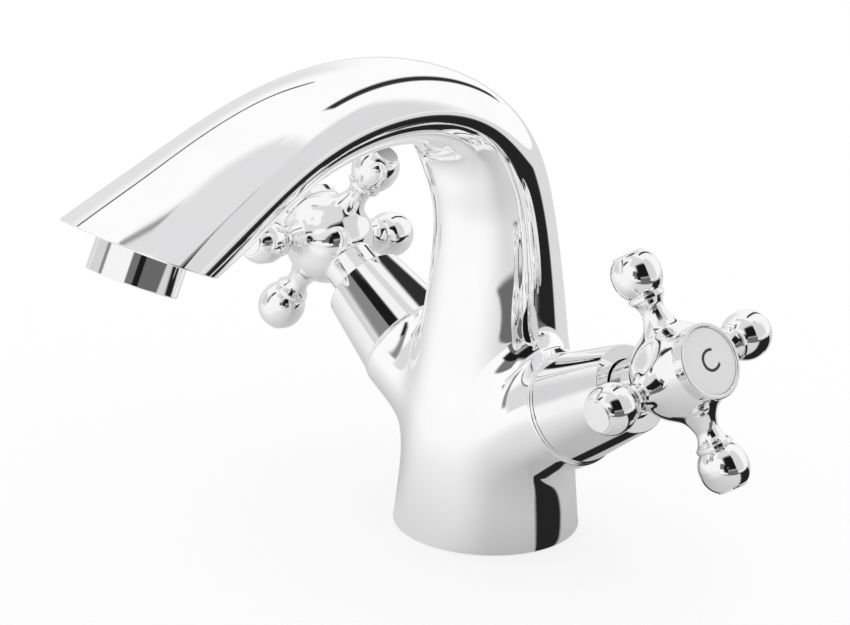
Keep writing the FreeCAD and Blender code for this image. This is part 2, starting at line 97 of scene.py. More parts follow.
# Inner radius, outer radius and depth of the groove, then X, Y, radius and depth of the holes.
SEAL_GROOVE = (19.45, 22.55, 2.0)
INLET = (7.5, -5.0, 4.5, 13.0)
STUD_HOLE = (0.0, 11.0, 3.4, 14.0)
HOLE_COUNT = 48

SLEEVE_BASE_RADIUS = 14.6
SLEEVE_END_RADIUS = 11.63
SLEEVE_LENGTH = 22.78
SLEEVE_WALL = 1.6
SLEEVE_BEAD = 0.3
SLEEVE_BEAD_WIDTH = 0.9
SLEEVE_MOUTH_RADIUS = 7.8
SLEEVE_END_THICKNESS = 2.0
SLEEVE_END = BOSS_LENGTH + SLEEVE_LENGTH

HANDLE_PLANE = 77.85
SKIRT_RADIUS = 7.4
SKIRT_START = 56.0
SKIRT_BORE = (6.5, 5.0)
SKIRT_ROUND = 0.3
HUB_RADIUS = 12.3
HUB_BACK = 10.4
HUB_FRONT = 8.6
HUB_FRONT_RADIUS = 9.5
CAP_SEAT = HANDLE_PLANE + HUB_FRONT
CAP_RADIUS = 9.84
CAP_HEIGHT = 2.9
CAP_FRONT = CAP_SEAT + CAP_HEIGHT
CAP_PLUG_RADIUS = 7.0
CAP_PLUG_LENGTH = 4.5
CAP_PLUG_WALL = 1.2
DISC_RADIUS = 8.56
DISC_THICKNESS = 1.3
DISC_RECESS = 0.45
DISC_FRONT = CAP_FRONT - DISC_RECESS
LETTER_SIZE = 8.4
LETTER_THICKNESS = 0.03
LETTER_THINNING = 0.02
LETTER_LIFT = 0.01
LETTER_TURN = math.radians(17)
ARM_COUNT = 4
ARM_BEAD_PLACE = 19.8
REST_TURN = {"cold": math.radians(8.5), "hot": math.radians(-12.2)}

AERATOR_RADIUS = 11.4
AERATOR_LENGTH = 8.2
AERATOR_WALL = 1.4
AERATOR_LIP = 1.0
AERATOR_LIP_WIDTH = 1.2
AERATOR_SETBACK = 1.75
# Radius and length of the spigot inside the mouth, radius and depth of its waterway.
SPIGOT = (9.95, 3.5, 7.5, 5.0)

# ---------------- places


def valve_matrix(word):
    """From a shape modelled on Z out along the cold or hot valve's axis."""
    turn = Matrix.Rotation(SIDES[word] * (math.pi / 2 - VALVE_RISE), 4, "Y")
    return Matrix.Translation((0, 0, VALVE_HEIGHT)) @ turn


def handle_matrix(word):
    """As valve_matrix, with the handle's turn at rest."""
    return valve_matrix(word) @ Matrix.Rotation(SIDES[word] * REST_TURN[word], 4, "Z")


def mouth_matrix():
    """From a shape modelled on Z out of the spout's cut end, on the aerator's axis."""
    height, setback, tilt = KEY_SECTIONS[-1][:3]
    lean = math.radians(tilt)
    middle = Vector((0, setback, height))
    middle -= Vector((0, math.cos(lean), math.sin(lean))) * AERATOR_SETBACK
    return Matrix.Translation(middle) @ Matrix.Rotation(lean, 4, "X")


# ---------------- node trees


class Nodes:
    """Short ways to add and join the nodes of one tree."""

    def __init__(self, tree):
        self.new = tree.nodes.new
        self.link = tree.links.new

    def add(self, kind, inputs=None, **settings):
        """The outputs of a new node. Its inputs take plain values or other nodes' outputs."""
        node = self.new(kind)
        for name, value in settings.items():
            setattr(node, name, value)
        for name, value in (inputs or {}).items():
            if isinstance(value, bpy.types.NodeSocket):
                self.link(value, node.inputs[name])
            else:
                node.inputs[name].default_value = value
        return node.outputs

    def math(self, operation, *values):
        return self.add("ShaderNodeMath", dict(enumerate(values)), operation=operation)[0]

    def soft_step(self, value, start, end):
        """Nought before start, one after end and smooth between."""
        limits = {"From Min": start, "From Max": end, "To Min": 0.0, "To Max": 1.0}
        if start > end:
            limits = {"From Min": end, "From Max": start, "To Min": 1.0, "To Max": 0.0}
        return self.add("ShaderNodeMapRange", {"Value": value, **limits},
                        interpolation_type="SMOOTHSTEP")[0]


def new_material(name):
    """An empty material and its nodes."""
    material = bpy.data.materials.new(name)
    material.use_nodes = True
    material.node_tree.nodes.clear()
    return material, Nodes(material.node_tree)


# ---------------- objects and meshes


def new_object(name, data):
    """An object of the scene that holds a mesh, a text or a camera."""
    thing = bpy.data.objects.new(name, data)
    bpy.context.scene.collection.objects.link(thing)
    return thing


def shown_mesh(thing):
    """A copy of the mesh that an object shows, with its letters or modifiers made real."""
    shape = thing.evaluated_get(bpy.context.evaluated_depsgraph_get())
    return bpy.data.meshes.new_from_object(shape)


def put_in_place(mesh, matrix):
    """Moves a mesh, which is in metres, by a matrix in millimetres."""
    place = matrix.copy()
    place.translation *= MM
    mesh.transform(place)


# ---------------- meshes with exact normals

# Points within one step of WELD are merged. The offset keeps round sizes off the steps' limits.
WELD = 1e-4
WELD_OFFSET = 0.137
ARC_STEP = 0.3
SMOOTH_BEND = math.radians(12)
CORNER_STEPS = 4


class Skin:
    """Points, outward normals and faces of one piece, in millimetres."""

    def __init__(self):
        self.points = []
        self.normals = []
        self.faces = []

    def add(self, points, normals):
        first = len(self.points)
        self.points.extend(np.asarray(points, float).tolist())
        self.normals.extend(np.asarray(normals, float).tolist())
        return list(range(first, len(self.points)))

    def strips(self, rings, closed=False):
        """Quads between each ring and the next, and from the last to the first if closed."""
        for ring_a, ring_b in zip(rings, rings[1:] + rings[:int(closed)]):
            for i in range(len(ring_a)):
                j = (i + 1) % len(ring_a)
                self.faces.append((ring_a[i], ring_a[j], ring_b[j], ring_b[i]))

    def zip(self, loop_a, loop_b, middle, axis):
        """Triangles between two loops of different counts that both go round an axis.

        Each loop's points are in walking order, so that every edge of it gets a triangle.
        """
        across = axis.orthogonal().normalized()
        side = axis.cross(across).normalized()

        def from_lowest(loop):
            offsets = np.array([self.points[i] for i in loop]) - np.array(middle)
            angles = np.arctan2(offsets @ np.array(side), offsets @ np.array(across))
            steps = (np.roll(angles, -1) - angles + math.pi) % FULL_TURN - math.pi
            if steps.sum() < 0:
                loop, angles = loop[::-1], angles[::-1]
            first = int(np.argmin(angles))
            return loop[first:] + loop[:first], np.unwrap(np.roll(angles, -first))

        a, angle_a = from_lowest(loop_a)
        b, angle_b = from_lowest(loop_b)
        i = j = 0
        while i < len(a) or j < len(b):
            next_a = angle_a[(i + 1) % len(a)] + FULL_TURN * ((i + 1) // len(a))
            next_b = angle_b[(j + 1) % len(b)] + FULL_TURN * ((j + 1) // len(b))
            if j >= len(b) or (i < len(a) and next_a <= next_b):
                self.faces.append((a[i % len(a)], a[(i + 1) % len(a)], b[j % len(b)]))
                i += 1
            else:
                self.faces.append((a[i % len(a)], b[j % len(b)], b[(j + 1) % len(b)]))
                j += 1

    def fan(self, ring, normal):
        """Closes a ring with a flat fan round its middle."""
        copy = self.add([self.points[i] for i in ring], [normal] * len(ring))
        middle = self.add([np.mean([self.points[i] for i in ring], axis=0)], [normal])[0]
        for i in range(len(copy)):
            self.faces.append((copy[i], copy[(i + 1) % len(copy)], middle))

    def build(self, name, matrix=None):
        """A mesh object in metres. Equal points are merged and faces turned outwards."""
        points = np.array(self.points)
        normals = np.array(self.normals)
        normals /= np.linalg.norm(normals, axis=1)[:, None]
        if matrix is not None:
            turn = np.array(matrix.to_3x3())
            points = points @ turn.T + np.array(matrix.translation)
            normals = normals @ turn.T
        keys = np.floor(points / WELD + WELD_OFFSET)
        _, first, where = np.unique(keys, axis=0, return_index=True, return_inverse=True)
        where = where.reshape(-1)
        faces = []
        face_normals = []
        for face in self.faces:
            ends = [int(where[i]) for i in face]
            kept = [i for i in range(len(face)) if ends[i] != ends[i - 1]]
            if len(kept) < 3:
                continue
            faces.append([ends[i] for i in kept])
            face_normals.append({ends[i]: normals[face[i]] for i in kept})
        mesh = bpy.data.meshes.new(name)
        mesh.from_pydata((points[first] * MM).tolist(), [], faces)
        turned_out = bmesh.new()
        turned_out.from_mesh(mesh)
        bmesh.ops.recalc_face_normals(turned_out, faces=turned_out.faces[:])
        turned_out.to_mesh(mesh)
        turned_out.free()
        corner_normals = [given[corner] for given, polygon in zip(face_normals, mesh.polygons)
                          for corner in polygon.vertices]
        mesh.polygons.foreach_set("use_smooth", [True] * len(faces))
        mesh.normals_split_custom_set([tuple(n) for n in corner_normals])
        return new_object(name, mesh)


def circle(radius, height, count, middle=(0.0, 0.0)):
    """Points of a circle round Z, or normals with a part outwards and a part along Z."""
    turns = FULL_TURN * np.arange(count) / count
    return np.stack([middle[0] + radius * np.cos(turns), middle[1] + radius * np.sin(turns),
                     np.full(count, float(height))], axis=1)


def arc_through(start, bulge, end):
    """Points of the arc from start over bulge to end, without start."""
    a, b, c = (complex(*p) for p in (start, bulge, end))
    w = (c - a) / (b - a)
    middle = (b - a) * (w - abs(w) ** 2) / (2j * w.imag) + a
    radius = abs(a - middle)
    turn_b = np.angle((b - middle) / (a - middle))
    turn_c = np.angle((c - middle) / (a - middle))
    if turn_b * turn_c < 0 or abs(turn_b) > abs(turn_c):
        turn_c -= math.copysign(FULL_TURN, turn_c)
    count = max(3, int(math.ceil(abs(turn_c) * radius / ARC_STEP)))
    return [middle + (a - middle) * np.exp(1j * turn_c * (i + 1) / count) for i in range(count)]


def profile(outline, edge, closed):
    """Points and normals along an outline of (height, radius) points, its corners rounded.

    An entry that ends in "arc" is the middle of an arc. Edge is the rounding of the corners.
    """
    entries = list(outline) + ([outline[0]] if closed else [])
    points = [complex(*entries[0][:2])]
    bulge = None
    for entry in entries[1:]:
        if len(entry) == 3:
            bulge = entry[:2]
            continue
        end = entry[:2]
        if bulge is None:
            points.append(complex(*end))
        else:
            start = (points[-1].real, points[-1].imag)
            points.extend(arc_through(start, bulge, end))
        bulge = None
    if closed:
        points = points[:-1]
    count = len(points)
    path = [points[(i + 1) % count] - points[i] for i in range(count)]
    area = sum((points[i].conjugate() * points[(i + 1) % count]).imag for i in range(count))
    outwards = -1j if area > 0 else 1j
    spots, normals = [], []
    for i in range(count):
        before, after = path[i - 1], path[i]
        bend = abs(np.angle(after / before))
        is_end = not closed and i in (0, count - 1)
        if is_end or bend < SMOOTH_BEND:
            along = before + after
            if is_end:
                along = after if i == 0 else before
            spots.append(points[i])
            normals.append(along / abs(along) * outwards)
            continue
        reach = min(edge * math.tan(bend / 2), 0.45 * abs(before), 0.45 * abs(after))
        start = points[i] - before / abs(before) * reach
        end = points[i] + after / abs(after) * reach
        for part in range(CORNER_STEPS + 1):
            t = part / CORNER_STEPS
            spots.append((1 - t) ** 2 * start + 2 * t * (1 - t) * points[i] + t ** 2 * end)
            along = (1 - t) * (points[i] - start) + t * (end - points[i])
            normals.append(along / abs(along) * outwards)
    return spots, normals


def turned(skin, outline, edge, closed=True, count=128):
    """Adds the surface that an outline of (height, radius) points sweeps round Z."""
    spots, normals = profile(outline, edge, closed)
    rings = [skin.add(circle(max(p.imag, 0.0), p.real, count), circle(n.imag, n.real, count))
             for p, n in zip(spots, normals)]
    skin.strips(rings, closed)


def turned_piece(name, outline, matrix, edge, closed=True):
    """A finished piece made of one turned outline."""
    skin = Skin()
    turned(skin, outline, edge, closed)
    return skin.build(name, matrix)


# ---------------- smooth cast forms

SWEEP_OVERRUN = 3.0
SWEEP_SAMPLES = 90
SWEEP_ROUNDS = 6
SLOPE_STEP = 0.02
SETTLE_ROUNDS = 3
RELAX_ROUNDS = 4
RELAX_SHARE = 0.6


class Sweep:
    """The column and spout: a rounded section that follows smooth curves through its keys."""

    def __init__(self, keys):
        self.values = np.array(keys)
        steps = np.hypot(*np.diff(self.values[:, :2], axis=0).T)
        self.places = np.concatenate([[0.0], np.cumsum(steps)])
        self.values[:, 2] = np.radians(self.values[:, 2])
        count = len(keys)
        system = np.eye(count)
        loads = np.zeros((count, self.values.shape[1]))
        for i in range(1, count - 1):
            system[i, i - 1:i + 2] = steps[i - 1], 2 * (steps[i - 1] + steps[i]), steps[i]
            slopes = np.diff(self.values[i - 1:i + 2], axis=0) / steps[i - 1:i + 1, None]
            loads[i] = 6 * (slopes[1] - slopes[0])
        self.bends = np.linalg.solve(system, loads)
        self.length = self.places[-1]

    def at(self, place):
        """Section values and their slopes at places along the sweep."""
        i = np.clip(np.searchsorted(self.places, place) - 1, 0, len(self.places) - 2)
        span = (self.places[i + 1] - self.places[i])[:, None]
        before = (place - self.places[i])[:, None]
        after = (self.places[i + 1] - place)[:, None]
        bend_a, bend_b = self.bends[i], self.bends[i + 1]
        left = self.values[i] / span - bend_a * span / 6
        right = self.values[i + 1] / span - bend_b * span / 6
        value = (bend_a * after ** 3 + bend_b * before ** 3) / (6 * span)
        value = value + left * after + right * before
        slope = (bend_b * before ** 2 - bend_a * after ** 2) / (2 * span) - left + right
        return value, slope

    def locate(self, y, z):
        """Place along the sweep whose section plane holds each point (y, z)."""
        samples = np.linspace(-SWEEP_OVERRUN, self.length + SWEEP_OVERRUN, SWEEP_SAMPLES)
        spine = self.at(samples)[0]
        far = (y[:, None] - spine[:, 1]) ** 2 + (z[:, None] - spine[:, 0]) ** 2
        place = samples[np.argmin(far, axis=1)]
        low, high = -2 * SWEEP_OVERRUN, self.length + 2 * SWEEP_OVERRUN
        for _ in range(SWEEP_ROUNDS):
            value, slope = self.at(place)
            dy, dz = y - value[:, 1], z - value[:, 0]
            sine, cosine = np.sin(value[:, 2]), np.cos(value[:, 2])
            ahead = dz * cosine - dy * sine
            rise = dy * cosine + dz * sine
            pace = slope[:, 0] * cosine - slope[:, 1] * sine + slope[:, 2] * rise
            place = np.clip(place + ahead / np.maximum(pace, 0.25), low, high)
        return place

    def distance(self, points):
        """About how far points lie outside the form, negative inside."""
        x, y, z = points.T
        value, _ = self.at(self.locate(y, z))
        rise = (y - value[:, 1]) * np.cos(value[:, 2]) + (z - value[:, 0]) * np.sin(value[:, 2])
        width, depth, power = value[:, 3], value[:, 4], value[:, 5]
        side = np.maximum(np.abs(x), 1e-6) / width
        rise = np.maximum(np.abs(rise), 1e-6) / depth
        share = (side ** power + rise ** power) ** (1 / power)
        steep = np.hypot(side ** (power - 1) / width, rise ** (power - 1) / depth)
        steep = np.maximum(steep * share ** (1 - power), 0.5 / np.maximum(width, depth))
        return (share - 1) / steep

    def section(self, place, count, inset=0.0):
        """Points round the section at one place, drawn in by inset."""
        value = self.at(np.array([place]))[0][0]
        height, setback, tilt, width, depth, power = value
        turns = FULL_TURN * np.arange(count) / count
        cosine, sine = np.cos(turns), np.sin(turns)
        side = np.sign(cosine) * np.abs(cosine) ** (2 / power) * (width - inset)
        rise = np.sign(sine) * np.abs(sine) ** (2 / power) * (depth - inset)
        return np.stack([side, setback + rise * math.cos(tilt),
                         height + rise * math.sin(tilt)], axis=1)

    def facing(self, place):
        """Middle of a section and the direction in which the sweep passes it."""
        value = self.at(np.array([place]))[0][0]
        return (Vector((0, value[1], value[0])),
                Vector((0, -math.sin(value[2]), math.cos(value[2]))))


def soft_union(a, b, reach):
    """Joins two distances with a blend that starts where they differ by less than reach."""
    share = np.maximum(reach - np.abs(a - b), 0) / reach
    return np.minimum(a, b) - share ** 3 * reach / 6


def gradient(distance, points):
    """Direction and rate in which the distance grows."""
    shifts = SLOPE_STEP * np.eye(3)
    parts = [distance(points + shift) - distance(points - shift) for shift in shifts]
    return np.stack(parts, axis=1) / (2 * SLOPE_STEP)


def settle(distance, points, rounds=SETTLE_ROUNDS):
    """Moves points onto the surface where the distance is nought."""
    for _ in range(rounds):
        slope = gradient(distance, points)
        size = np.maximum((slope ** 2).sum(axis=1), 1e-9)
        points = points - slope * (distance(points) / size)[:, None]
    return points


def surface_net(distance, low, high, cell):
    """Points and quads of an even net on the surface where the distance is nought."""
    low, high = np.array(low, float), np.array(high, float)
    counts = np.ceil((high - low) / cell).astype(int) + 1
    axes = [low[i] + cell * np.arange(counts[i]) for i in range(3)]
    grid = np.stack(np.meshgrid(*axes, indexing="ij"), axis=-1).reshape(-1, 3)
    values = np.concatenate([distance(part) for part in np.array_split(grid, 24)])
    values = values.reshape(counts)
    inside = values < 0
    cells = counts - 1

    def shifted(array, offset):
        return array[tuple(slice(o, o + c) for o, c in zip(offset, cells))]

    filled = sum(shifted(inside, o).astype(int) for o in product((0, 1), repeat=3))
    mixed = (filled > 0) & (filled < 8)
    total = np.zeros(tuple(cells) + (3,))
    hits = np.zeros(tuple(cells))
    for axis in range(3):
        others = [i for i in range(3) if i != axis]
        for first, second in product((0, 1), repeat=2):
            start = [0, 0, 0]
            start[others[0]], start[others[1]] = first, second
            end = list(start)
            end[axis] = 1
            v0, v1 = shifted(values, start), shifted(values, end)
            crossed = (v0 < 0) != (v1 < 0)
            share = np.where(crossed, v0 / np.where(crossed, v0 - v1, 1.0), 0.0)
            offset = np.zeros(tuple(cells) + (3,))
            offset[...] = start
            offset[..., axis] = share
            total += crossed[..., None] * offset
            hits += crossed
    number = np.full(tuple(cells), -1)
    number[mixed] = np.arange(mixed.sum())
    spots = np.argwhere(mixed) + total[mixed] / hits[mixed][:, None]
    quads = []
    for axis in range(3):
        others = [i for i in range(3) if i != axis]
        core = [slice(1, -1)] * 3
        core[axis] = slice(0, -1)
        ahead = list(core)
        ahead[axis] = slice(1, None)
        crossed = np.argwhere(inside[tuple(core)] != inside[tuple(ahead)])
        crossed += np.array([0 if i == axis else 1 for i in range(3)])
        around = []
        for first, second in ((-1, -1), (0, -1), (0, 0), (-1, 0)):
            spot = crossed.copy()
            spot[:, others[0]] += first
            spot[:, others[1]] += second
            around.append(number[tuple(spot.T)])
        quads.append(np.stack(around, axis=1))
    return low + cell * spots, np.concatenate(quads)


def relax(distance, points, quads):
    """Evens out a net without leaving its surface."""
    ends = np.concatenate([quads, np.roll(quads, -1, axis=1)]).reshape(2, -1)
    for _ in range(RELAX_ROUNDS):
        total = np.zeros_like(points)
        hits = np.zeros(len(points))
        for a, b in ((0, 1), (1, 0)):
            np.add.at(total, ends[a], points[ends[b]])
            np.add.at(hits, ends[a], 1)
        evened = (1 - RELAX_SHARE) * points + RELAX_SHARE * total / hits[:, None]
        points = settle(distance, evened, 1)
    return settle(distance, points)


def open_loops(form):
    """The open edges of a net as loops of vertex numbers, each in walking order."""
    beside = {}
    for edge in form.edges:
        if len(edge.link_faces) == 1:
            a, b = (v.index for v in edge.verts)
            beside.setdefault(a, []).append(b)
            beside.setdefault(b, []).append(a)
    loops = []
    while beside:
        loop = [next(iter(beside))]
        while loop[-1] in beside:
            spot = loop[-1]
            onward = beside[spot].pop()
            beside[onward].remove(spot)
            for end in (spot, onward):
                if not beside[end]:
                    del beside[end]
            loop.append(onward)
        loops.append(loop[:-1])
    return loops


def anywhere(spot):
    """Chooser of a cut that takes the whole net."""
    return True


def cast_net(distance, low, high, cell, cuts):
    """Adds the net of a cast form, cut by planes, to a new skin.

    Each cut is (point, normal, chooser): what lies beyond the plane goes, among the faces
    that the chooser names. Returns the skin and the loop that each cut leaves.
    """
    points, quads = surface_net(distance, low, high, cell)
    points = relax(distance, points, quads)
    form = bmesh.new()
    corners = [form.verts.new(p) for p in points]
    for quad in quads:
        form.faces.new([corners[i] for i in quad])
    edge_points = []
    for spot, normal, chosen in cuts:
        faces = [f for f in form.faces if chosen(f.calc_center_median())]
        verts = list(dict.fromkeys(v for f in faces for v in f.verts))
        edges = list(dict.fromkeys(e for f in faces for e in f.edges))
        result = bmesh.ops.bisect_plane(form, geom=verts + edges + faces, plane_co=spot,
                                        plane_no=normal, clear_outer=True, dist=CUT_TOLERANCE)
        cut = [item for item in result["geom_cut"] if isinstance(item, bmesh.types.BMVert)]
        edge_points.append([v for v in cut if v.is_valid])
    form.verts.index_update()
    spots = np.array([v.co[:] for v in form.verts])
    skin = Skin()
    skin.add(spots, gradient(distance, spots))
    skin.faces = [tuple(v.index for v in face.verts) for face in form.faces]
    found = open_loops(form)
    loops = []
    for verts in edge_points:
        on_cut = {v.index for v in verts if v.is_valid}
        loops.append(max(found, key=lambda loop: len(on_cut.intersection(loop))))
    form.free()
    return skin, loops


def end_rings(skin, loop, rings, matrix=Matrix.Identity(4), count=96, last=None):
    """Ends a cut in rings of (radius, height, normal outwards, normal upwards) on an axis.

    The last ring is closed by a flat face if last says which way along the axis it faces.
    """
    axis = (matrix.to_3x3() @ Vector((0, 0, 1))).normalized()
    turn = np.array(matrix.to_3x3())
    shift = np.array(matrix.translation)
    added = [skin.add(circle(radius, height, count) @ turn.T + shift,
                      circle(outwards, upwards, count) @ turn.T)
             for radius, height, outwards, upwards in rings]
    if loop:
        skin.zip(loop, added[0], matrix @ Vector((0, 0, rings[0][1])), axis)
    skin.strips(added)
    if last is not None:
        skin.fan(added[-1], axis * last)
    return added[-1]


def rounded_rim(radius, height, size, upwards=1):
    """Rings of a rounded outer rim, from the side to the flat end."""
    rings = []
    for step in range(ROUND_STEPS + 1):
        turn = math.pi / 2 * step / ROUND_STEPS
        rings.append((radius - size * (1 - math.cos(turn)),
                      height - upwards * size * (1 - math.sin(turn)),
                      math.cos(turn), upwards * math.sin(turn)))
    return rings


def stepped(corners, upwards=1):
    """Rings of the walls and ledges between (radius, height) corners, from a flat end inwards."""
    rings = [corners[0] + (0, upwards)]
    for corner, onward in zip(corners, corners[1:]):
        normal = (upwards * (onward[1] - corner[1]), upwards * (corner[0] - onward[0]))
        rings += [corner + normal, onward + normal]
    return rings


# ---------------- the casting

sweep = Sweep(KEY_SECTIONS)
VALVE_AXES = [np.array((side * math.cos(VALVE_RISE), 0, math.sin(VALVE_RISE)))
              for side in SIDES.values()]


def boss_distance(points, axis):
    """Distance from a round boss that starts at the valves' common point."""
    offset = points - np.array((0, 0, VALVE_HEIGHT))
    along = np.maximum(offset @ axis, 0)
    return np.linalg.norm(offset - along[:, None] * axis, axis=1) - BOSS_RADIUS


def casting_distance(points):
    """Distance from the column and spout with both bosses blended in."""
    bosses = np.minimum(*[boss_distance(points, axis) for axis in VALVE_AXES])
    return soft_union(sweep.distance(points), bosses, BOSS_BLEND)


def bottom_face(skin, rim):
    """Base edge, seal groove, inner face with the stud hole and the two hose sockets."""
    inner, outer, depth = SEAL_GROOVE
    rings = rounded_rim(BASE_RADIUS, 0.0, BASE_ROUND, -1)
    rings += stepped([(outer, 0), (outer, depth), (inner, depth), (inner, 0)], -1)
    last = end_rings(skin, rim, rings + [(inner, 0, 0, -1)])
    face = bmesh.new()
    loops = [[skin.points[i] for i in last]]
    for x, y, radius, length in (INLET, (-INLET[0],) + INLET[1:], STUD_HOLE):
        loops.append(circle(radius, 0, HOLE_COUNT, (x, y)).tolist())
        end_rings(skin, None, stepped([(radius, 0), (radius, length)], -1),
                  Matrix.Translation((x, y, 0)), HOLE_COUNT, last=-1)
    edges = []
    for loop in loops:
        corners = [face.verts.new(p) for p in loop]
        edges += [face.edges.new((corners[i - 1], corners[i])) for i in range(len(corners))]
    bmesh.ops.triangle_fill(face, edges=edges, use_beauty=True, normal=(0, 0, -1))
    face.verts.index_update()
    flat = skin.add([v.co[:] for v in face.verts], [(0, 0, -1)] * len(face.verts))
    skin.faces += [tuple(flat[v.index] for v in f.verts) for f in face.faces]
    face.free()


def spout_surface(skin, loop, start):
    """Even rows of the column and spout from the cut to the rounded edge of the mouth."""
    stretch = sweep.length - MOUTH_ROUND - start
    count = int(stretch / ROW_PITCH)
    rows = []
    for row in range(count + 1):
        points = sweep.section(start + stretch * row / count, ROW_COUNT)
        rows.append(skin.add(points, gradient(sweep.distance, points)))
    skin.zip(loop, rows[0], *sweep.facing(start))
    forward = np.array(sweep.facing(sweep.length)[1])
    side_normals = gradient(sweep.distance, sweep.section(sweep.length - MOUTH_ROUND, ROW_COUNT))
    for step in range(1, ROUND_STEPS + 1):
        turn = math.pi / 2 * step / ROUND_STEPS
        place = sweep.length - MOUTH_ROUND * (1 - math.sin(turn))
        points = sweep.section(place, ROW_COUNT, MOUTH_ROUND * (1 - math.cos(turn)))
        normals = side_normals * math.cos(turn) + forward * math.sin(turn)
        rows.append(skin.add(points, normals))
    skin.strips(rows)
    spigot_radius, spigot_length, way_radius, way_depth = SPIGOT
    rings = stepped([(spigot_radius, 0), (spigot_radius, spigot_length),
                     (way_radius, spigot_length), (way_radius, -way_depth)])
    end_rings(skin, rows[-1], rings, mouth_matrix(), last=1)


def mixer_casting():
    """Base, column, bosses and spout in one closed skin."""
    top_place = sweep.places[TOP_KEY] + MIXED_TOP - KEY_SECTIONS[TOP_KEY][0]
    centre = Vector((0, 0, VALVE_HEIGHT))
    cuts = [(Vector((0, 0, BASE_CUT_HEIGHT)), Vector((0, 0, -1)), anywhere),
            sweep.facing(top_place) + (lambda spot: spot.z > MIXED_TOP - MIXED_TOP_REACH,)]
    for axis in VALVE_AXES:
        out = Vector(axis)
        cuts.append((centre + out * BOSS_CUT_HEIGHT, out,
                     lambda spot, out=out: (spot - centre).dot(out) > BOSS_LENGTH - BOSS_CUT_DEPTH
                     and (spot - centre).cross(out).length < BOSS_CUT_RADIUS))
    reach = BOSS_LENGTH * math.cos(VALVE_RISE) + BOSS_RADIUS * math.sin(VALVE_RISE) + NET_MARGIN
    skin, loops = cast_net(casting_distance, (-reach, -NET_HALF_DEPTH, -BASE_OVERRUN),
                           (reach, NET_HALF_DEPTH, MIXED_TOP + 2 * NET_MARGIN), CASTING_CELL, cuts)
    bottom_face(skin, loops[0])
    spout_surface(skin, loops[1], top_place + ROW_START_GAP)
    for word, loop in zip(SIDES, loops[2:]):
        rings = rounded_rim(BOSS_RADIUS, BOSS_LENGTH, BOSS_RIM_ROUND)
        rings += stepped([(CHAMBER_RADIUS, BOSS_LENGTH), (CHAMBER_RADIUS, CHAMBER_FLOOR)])
        end_rings(skin, loop, rings, valve_matrix(word), last=1)
    return skin.build("mixer_casting")


# ---------------- sleeves, handles, caps


def sleeve(word):
    """Tapered cover with a thin bead round its foot and a sharp outer edge."""
    slope = (SLEEVE_BASE_RADIUS - SLEEVE_END_RADIUS) / SLEEVE_LENGTH
    bead_top = BOSS_LENGTH + SLEEVE_BEAD_WIDTH
    bead_radius = SLEEVE_BASE_RADIUS + SLEEVE_BEAD
    skin_at_bead = SLEEVE_BASE_RADIUS - slope * SLEEVE_BEAD_WIDTH
    roof = SLEEVE_END - SLEEVE_END_THICKNESS
    return turned_piece(word + "_valve_sleeve", [
        (BOSS_LENGTH, SLEEVE_BASE_RADIUS - SLEEVE_WALL), (BOSS_LENGTH, SLEEVE_BASE_RADIUS),
        (BOSS_LENGTH + SLEEVE_BEAD_WIDTH / 2, bead_radius, "arc"), (bead_top, skin_at_bead),
        (SLEEVE_END, SLEEVE_END_RADIUS), (SLEEVE_END, SLEEVE_MOUTH_RADIUS),
        (roof, SLEEVE_MOUTH_RADIUS), (roof, SLEEVE_END_RADIUS - SLEEVE_WALL)],
        valve_matrix(word), edge=0.35)


HUB_OUTLINE = [
    (SKIRT_START, SKIRT_RADIUS), (HANDLE_PLANE - HUB_BACK, SKIRT_RADIUS),
    (HANDLE_PLANE - 0.66 * HUB_BACK, 0.88 * HUB_RADIUS, "arc"),
    (HANDLE_PLANE - 1, HUB_RADIUS),
    (HANDLE_PLANE + 0.5 * HUB_FRONT, 0.94 * HUB_RADIUS, "arc"),
    (CAP_SEAT + 1.2, HUB_FRONT_RADIUS - 0.8)]
NECK_OUTLINE = [
    (0, 7.5), (6, 6.5), (8.5, 6.0), (13.25, 4.0, "arc"), (16.0, 3.1), (18.3, 3.5, "arc"),
    (ARM_BEAD_PLACE, 4.6), (24, 4.6)]
HUB_BLEND = 3.0
SKIRT_CUT = 1.2
FRONT_CUT = 0.6
NECK_END = 20.3
NECK_END_RADIUS = 4.0
NECK_COUNT = 32


def along_outline(outline):
    """Radius and its slope along an outline, as tables over the height."""
    spots, _ = profile(outline, 0.01, closed=False)
    heights = np.array([p.real for p in spots])
    radii = np.array([p.imag for p in spots])
    fine = np.linspace(heights[0], heights[-1], 600)
    table = np.interp(fine, heights, radii)
    smooth = np.convolve(np.pad(table, 6, mode="edge"), np.ones(13) / 13, mode="valid")
    return fine, smooth, np.gradient(smooth, fine)


HUB_TABLE = along_outline(HUB_OUTLINE)
NECK_TABLE = along_outline(NECK_OUTLINE)


def round_distance(along, away, table):
    """Distance from a turned form, for points along its axis and away from it."""
    heights, radii, slopes = table
    radius = np.interp(along, heights, radii)
    slope = np.interp(along, heights, slopes)
    return (away - radius) / np.sqrt(1 + slope ** 2)


def hub_distance(points):
    """Round hub with four arm roots that flare into it."""
    x, y, z = points.T
    hub = round_distance(z, np.hypot(x, y), HUB_TABLE)
    level = z - HANDLE_PLANE
    flat_x, flat_y = np.abs(x), np.abs(y)
    along, beside = np.maximum(flat_x, flat_y), np.minimum(flat_x, flat_y)
    neck = round_distance(along, np.hypot(beside, level), NECK_TABLE)
    return soft_union(hub, neck, HUB_BLEND)


